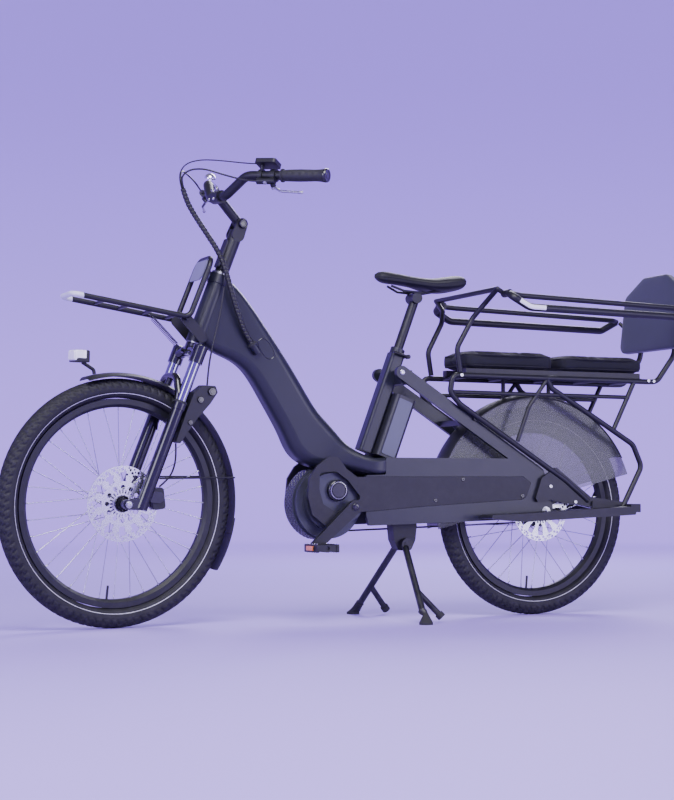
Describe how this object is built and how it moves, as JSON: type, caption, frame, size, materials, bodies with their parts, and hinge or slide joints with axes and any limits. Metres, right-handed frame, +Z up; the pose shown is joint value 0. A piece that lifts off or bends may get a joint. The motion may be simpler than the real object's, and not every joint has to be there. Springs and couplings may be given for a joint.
{
  "type": "longtail cargo bicycle",
  "caption": "Electric longtail cargo bicycle with padded passenger seats, hand rails, footboards, front carrier and centre stand.",
  "frame": {"origin": "on the ground, under the middle of the overall length and width", "axes": "+X forward along the travel direction, +Y to the rider's left, +Z up"},
  "size_m": [2.1096, 0.6555, 1.2721],
  "materials": {
    "frame_paint": "matt",
    "black_metal": "satin",
    "fork_paint": "gloss",
    "silver": "satin",
    "steel": "brushed",
    "chrome": "polished",
    "rubber": "matt",
    "tyre": "matt",
    "black_plastic": "matt",
    "light_plastic": "satin",
    "smoke": "smoked",
    "case_grey": "satin",
    "fabric": "woven",
    "pad": "matt",
    "lamp": "clear",
    "saddle_skin": "smooth"
  },
  "bodies": {
    "frame": {"down_tube": "frame_paint", "seat_tube": "frame_paint", "rear_stays": "frame_paint", "motor_housing": "black_plastic", "drive_covers": "black_plastic", "battery": "case_grey", "headset_bearings": "steel", "front_carrier": "black_metal", "rear_rack": "black_metal", "grab_hoop": "black_metal", "hand_rails": "black_metal", "backrest_frame": "black_metal", "backrest_pad": "pad", "seat_cushion_front": "fabric", "seat_cushion_rear": "fabric", "footboards": "black_plastic", "rear_mudguard": "black_plastic", "skirt_guards": "smoke", "rear_axle": "steel", "rear_caliper": "black_metal", "drive_belt": "rubber", "stand_bracket": "black_metal", "steering_spring": "steel", "hose_bundle": "rubber"},
    "seat_clamp": {"seat_clamp_lever": "black_metal"},
    "steering": {"fork_uppers": "fork_paint", "stem_post": "black_metal", "control_hoses": "rubber"},
    "cockpit": {"stem_arm": "black_metal", "handlebar": "black_metal", "grips": "rubber", "brake_bodies": "black_metal", "display": "black_plastic", "bell": "chrome"},
    "left_lever": {"brake_lever_left": "black_metal"},
    "right_lever": {"brake_lever_right": "black_metal"},
    "button": {"display_button": "black_plastic"},
    "fork_lower": {"fork_lowers": "fork_paint", "front_mudguard": "black_plastic", "headlight": "lamp", "brake_unit": "black_plastic", "front_caliper": "black_metal", "front_axle": "steel"},
    "front_wheel": {"front_tyre": "tyre", "front_rim": "black_metal", "front_hub": "black_metal", "front_spokes": "steel", "front_rotor": "steel"},
    "rear_wheel": {"rear_tyre": "tyre", "rear_rim": "black_metal", "rear_hub": "black_metal", "rear_spokes": "steel", "rear_rotor": "steel"},
    "crank": {"crankset": "black_metal"},
    "left_pedal": {"pedal_left": "black_plastic"},
    "right_pedal": {"pedal_right": "black_plastic"},
    "rear_sprocket": {"rear_sprocket": "steel"},
    "saddle_post": {"seat_post": "black_metal", "saddle": "saddle_skin"},
    "centre_stand": {"stand_legs": "black_metal"}
  },
  "joints": [
    {"name": "steering", "type": "hinge", "parent": "frame", "child": "steering", "pos_m": [0.67499, 0, 0.31622], "axis": [-0.3584, 0, 0.9336], "range_deg": [-57, 43], "deforming": ["steering_spring", "hose_bundle"]},
    {"name": "stem_tilt", "type": "hinge", "parent": "steering", "child": "cockpit", "pos_m": [0.37109, 0, 1.1079], "axis": [-0.1138, 0.9925, -0.0437], "range_deg": [-30, 30], "deforming": ["control_hoses"]},
    {"name": "fork_travel", "type": "slide", "parent": "steering", "child": "fork_lower", "axis": [-0.3584, 0, 0.9336], "range_m": [0, 0.05], "stiffness_N_per_m": 8000, "springref_m": -0.03, "deforming": ["control_hoses"]},
    {"name": "front_wheel_spin", "type": "hinge", "parent": "fork_lower", "child": "front_wheel", "pos_m": [0.72225, 0.00622, 0.33436], "axis": [-0.1138, 0.9925, -0.0437], "continuous": true},
    {"name": "rear_wheel_spin", "type": "hinge", "parent": "frame", "child": "rear_wheel", "pos_m": [-0.5644, 0, 0.3085], "axis": [0, 1, 0], "continuous": true},
    {"name": "crank_spin", "type": "hinge", "parent": "frame", "child": "crank", "pos_m": [0.0616, 0, 0.322], "axis": [0, 1, 0], "continuous": true},
    {"name": "left_pedal_spin", "type": "hinge", "parent": "crank", "child": "left_pedal", "pos_m": [0.18496, 0.15, 0.21092], "axis": [0, 1, 0], "continuous": true},
    {"name": "right_pedal_spin", "type": "hinge", "parent": "crank", "child": "right_pedal", "pos_m": [-0.06176, -0.15, 0.43308], "axis": [0, 1, 0], "continuous": true},
    {"name": "rear_sprocket_spin", "type": "hinge", "parent": "frame", "child": "rear_sprocket", "pos_m": [-0.5644, 0, 0.3085], "axis": [0, 1, 0], "continuous": true},
    {"name": "left_brake_pull", "type": "hinge", "parent": "cockpit", "child": "left_lever", "pos_m": [0.35155, 0.20417, 1.18253], "axis": [0.4675, 0.473, 0.7468], "range_deg": [0, 20], "stiffness_Nm_per_rad": 1.2, "springref_deg": -20.05},
    {"name": "right_brake_pull", "type": "hinge", "parent": "cockpit", "child": "right_lever", "pos_m": [0.39743, -0.19605, 1.20014], "axis": [-0.5548, 0.2886, -0.7803], "range_deg": [0, 20], "stiffness_Nm_per_rad": 1.2, "springref_deg": -20.05},
    {"name": "display_button_press", "type": "slide", "parent": "cockpit", "child": "button", "axis": [0.2825, 0.1588, -0.946], "range_m": [0, 0.0015], "stiffness_N_per_m": 300, "springref_m": -0.001},
    {"name": "seat_height", "type": "slide", "parent": "frame", "child": "saddle_post", "axis": [-0.3502, 0, 0.9367], "range_m": [-0.06, 0.08]},
    {"name": "seat_clamp_open", "type": "hinge", "parent": "frame", "child": "seat_clamp", "pos_m": [-0.13812, 0.025, 0.75237], "axis": [0, 1, 0], "range_deg": [0, 60]},
    {"name": "stand_fold", "type": "hinge", "parent": "frame", "child": "centre_stand", "pos_m": [-0.1324, 0, 0.214], "axis": [0, 1, 0], "range_deg": [0, 75]}
  ],
  "couplings": [
    {"joint": "rear_sprocket_spin", "follows": "crank_spin", "ratio": 2}
  ]
}
